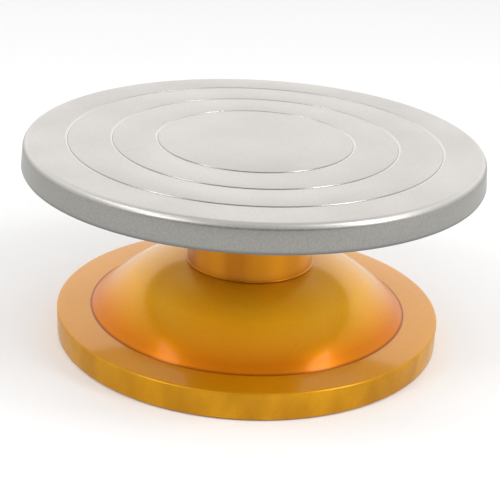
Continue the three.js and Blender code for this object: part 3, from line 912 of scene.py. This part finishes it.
def grease_cap():
    """A pressed cup that closes the lower end of the housing."""
    low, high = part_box("grease_cap")
    sheet = 1.2 * MM
    edge = 0.5 * MM
    outside = BEARING_RADIUS - 0.1 * MM
    lip_top = low.z + sheet
    outline = [
        (0, low.z),
        *arc(high.x - edge, low.z + edge, edge, -90, 0, 4),
        (high.x, lip_top),
        (outside, lip_top),
        (outside, high.z),
        (outside - sheet, high.z),
        (outside - sheet, lip_top),
        (0, lip_top),
    ]
    return turned("grease_cap", outline, SMALL_FACETS)


def rubber_foot(node):
    """A moulded foot, with its screw's head sunk into it from below."""
    low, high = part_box(node)
    radius = (high.x - low.x) / 2
    hole = FOOT_SCREW.shank + GAP
    head_room = FOOT_SCREW.head + GAP
    seat = 2.9 * MM  # the height of the face that the screw's head presses on
    edge = 1.2 * MM
    outline = [
        (hole, seat),
        (head_room, seat),
        (head_room, low.z),
        *arc(radius - edge, low.z + edge, edge, -90, 0, 6),
        (radius, high.z),
        (hole, high.z),
    ]
    return turned(node, outline, SCREW_FACETS, axis_of(node))


place("base_casting", "base", "gold_lacquer", base_casting(), GOLD_LACQUER)
place("neck", "base", "gold_lacquer", neck(), GOLD_LACQUER)
place("bearing_housing", "base", "cast_aluminium", bearing_housing(), CAST_ALUMINIUM)
for node in numbered("housing_screw", HOUSING_SCREWS):
    place(node, "base", "zinc_steel", socket_screw(node, HOUSING_SCREW), ZINC_STEEL)
seal = tube("dust_seal", HUB_NOSE_RADIUS + 0.5 * MM)
place("dust_seal", "base", "black_rubber", seal, BLACK_RUBBER)
place("housing_circlip", "base", "spring_steel", circlip(), SPRING_STEEL)
place("grease_cap", "base", "zinc_steel", grease_cap(), ZINC_STEEL)
for foot, screw in zip(numbered("rubber_foot", FEET), numbered("foot_screw", FEET)):
    place(foot, "base", "black_rubber", rubber_foot(foot), BLACK_RUBBER)
    place(screw, "base", "zinc_steel", socket_screw(screw, FOOT_SCREW), ZINC_STEEL)


# ---------- Studio ----------

SKY_SIDE = 1.22
SKY_TOP = 0.62
SKY_FRONT = 0.12  # a share of the brightness that the sky would have there

# Where the sky begins and ends each change, as parts of a unit direction. Y is -1 in front of the
# object, on the camera's side. Z is 1 overhead.
FRONT_BEGINS, FRONT_ENDS = -0.25, -0.9
LOW_BEGINS, LOW_ENDS = 0.6, 0.15
TOP_BEGINS, TOP_ENDS = 0.45, 0.9

LIGHT_TARGET = Vector((0, 0, 0.08))
LIGHT_DISTANCE = 1.6
LIGHT_WIDTH = 0.4

# Name, azimuth and elevation in degrees, and power in watts. Azimuth 0 is in front of the object
# and 90 is on its right.
SOFTBOXES = (
    ("left_box", -46, 36, 4.5),
    ("left_high_box", -76, 54, 2.5),
    ("right_box", 62, 30, 6),
    ("right_high_box", 75, 54, 4),
)


def studio_floor():
    half = 6.0  # metres, half the floor's width
    mesh = bpy.data.meshes.new("studio_floor")
    corners = [(-half, -half, 0), (half, -half, 0), (half, half, 0), (-half, half, 0)]
    mesh.from_pydata(corners, [], [(0, 1, 2, 3)])
    mesh.materials.append(floor_paint())
    floor = bpy.data.objects.new("studio_floor", mesh)
    bpy.context.scene.collection.objects.link(floor)


def softbox(name, azimuth, elevation, power):
    """A square light that faces the target."""
    around, up = math.radians(azimuth), math.radians(elevation)
    way = Vector((math.sin(around) * math.cos(up), -math.cos(around) * math.cos(up), math.sin(up)))
    light = bpy.data.lights.new(name, "AREA")
    light.shape = "SQUARE"
    light.size = LIGHT_WIDTH
    light.energy = power
    lamp = bpy.data.objects.new(name, light)
    lamp.location = LIGHT_TARGET + LIGHT_DISTANCE * way
    lamp.rotation_euler = way.to_track_quat("Z", "Y").to_euler()
    bpy.context.scene.collection.objects.link(lamp)


def studio_sky():
    """White light from all round, dimmer overhead, and dimmest low down in front of the object."""
    world = bpy.data.worlds.new("studio_sky")
    bpy.context.scene.world = world
    world.use_nodes = True
    nodes, links = world.node_tree.nodes, world.node_tree.links
    parts = nodes.new("ShaderNodeSeparateXYZ")
    links.new(nodes.new("ShaderNodeTexCoord").outputs["Generated"], parts.inputs[0])

    def held_range(value, low, high, to_low, to_high):
        made = nodes.new("ShaderNodeMapRange")
        links.new(value, made.inputs[0])
        for i, number in enumerate((low, high, to_low, to_high), start=1):
            made.inputs[i].default_value = number
        return made.outputs[0]

    def product(first, second):
        made = nodes.new("ShaderNodeMath")
        made.operation = "MULTIPLY"
        links.new(first, made.inputs[0])
        links.new(second, made.inputs[1])
        return made.outputs[0]

    in_front = held_range(parts.outputs["Y"], FRONT_BEGINS, FRONT_ENDS, 0.0, 1.0)
    low_down = held_range(parts.outputs["Z"], LOW_BEGINS, LOW_ENDS, 0.0, 1.0)
    front = held_range(product(in_front, low_down), 0.0, 1.0, 1.0, SKY_FRONT)
    upwards = held_range(parts.outputs["Z"], TOP_BEGINS, TOP_ENDS, SKY_SIDE, SKY_TOP)
    nodes["Background"].inputs["Color"].default_value = (1, 1, 1, 1)
    links.new(product(upwards, front), nodes["Background"].inputs["Strength"])


def studio_camera():
    distance, height = 0.8228, 0.4028
    tilt, roll = math.radians(22.73), math.radians(2.97)
    focal_length = 94.3  # millimetres
    lens = bpy.data.cameras.new("camera")
    lens.lens = focal_length
    camera = bpy.data.objects.new("camera", lens)
    aim = Matrix.Rotation(math.pi / 2 - tilt, 4, "X") @ Matrix.Rotation(roll, 4, "Z")
    camera.matrix_world = Matrix.Translation((0, -distance, height)) @ aim
    bpy.context.scene.collection.objects.link(camera)
    bpy.context.scene.camera = camera


studio_floor()
studio_sky()
for settings in SOFTBOXES:
    softbox(*settings)
studio_camera()
bpy.context.scene.view_settings.view_transform = "Standard"
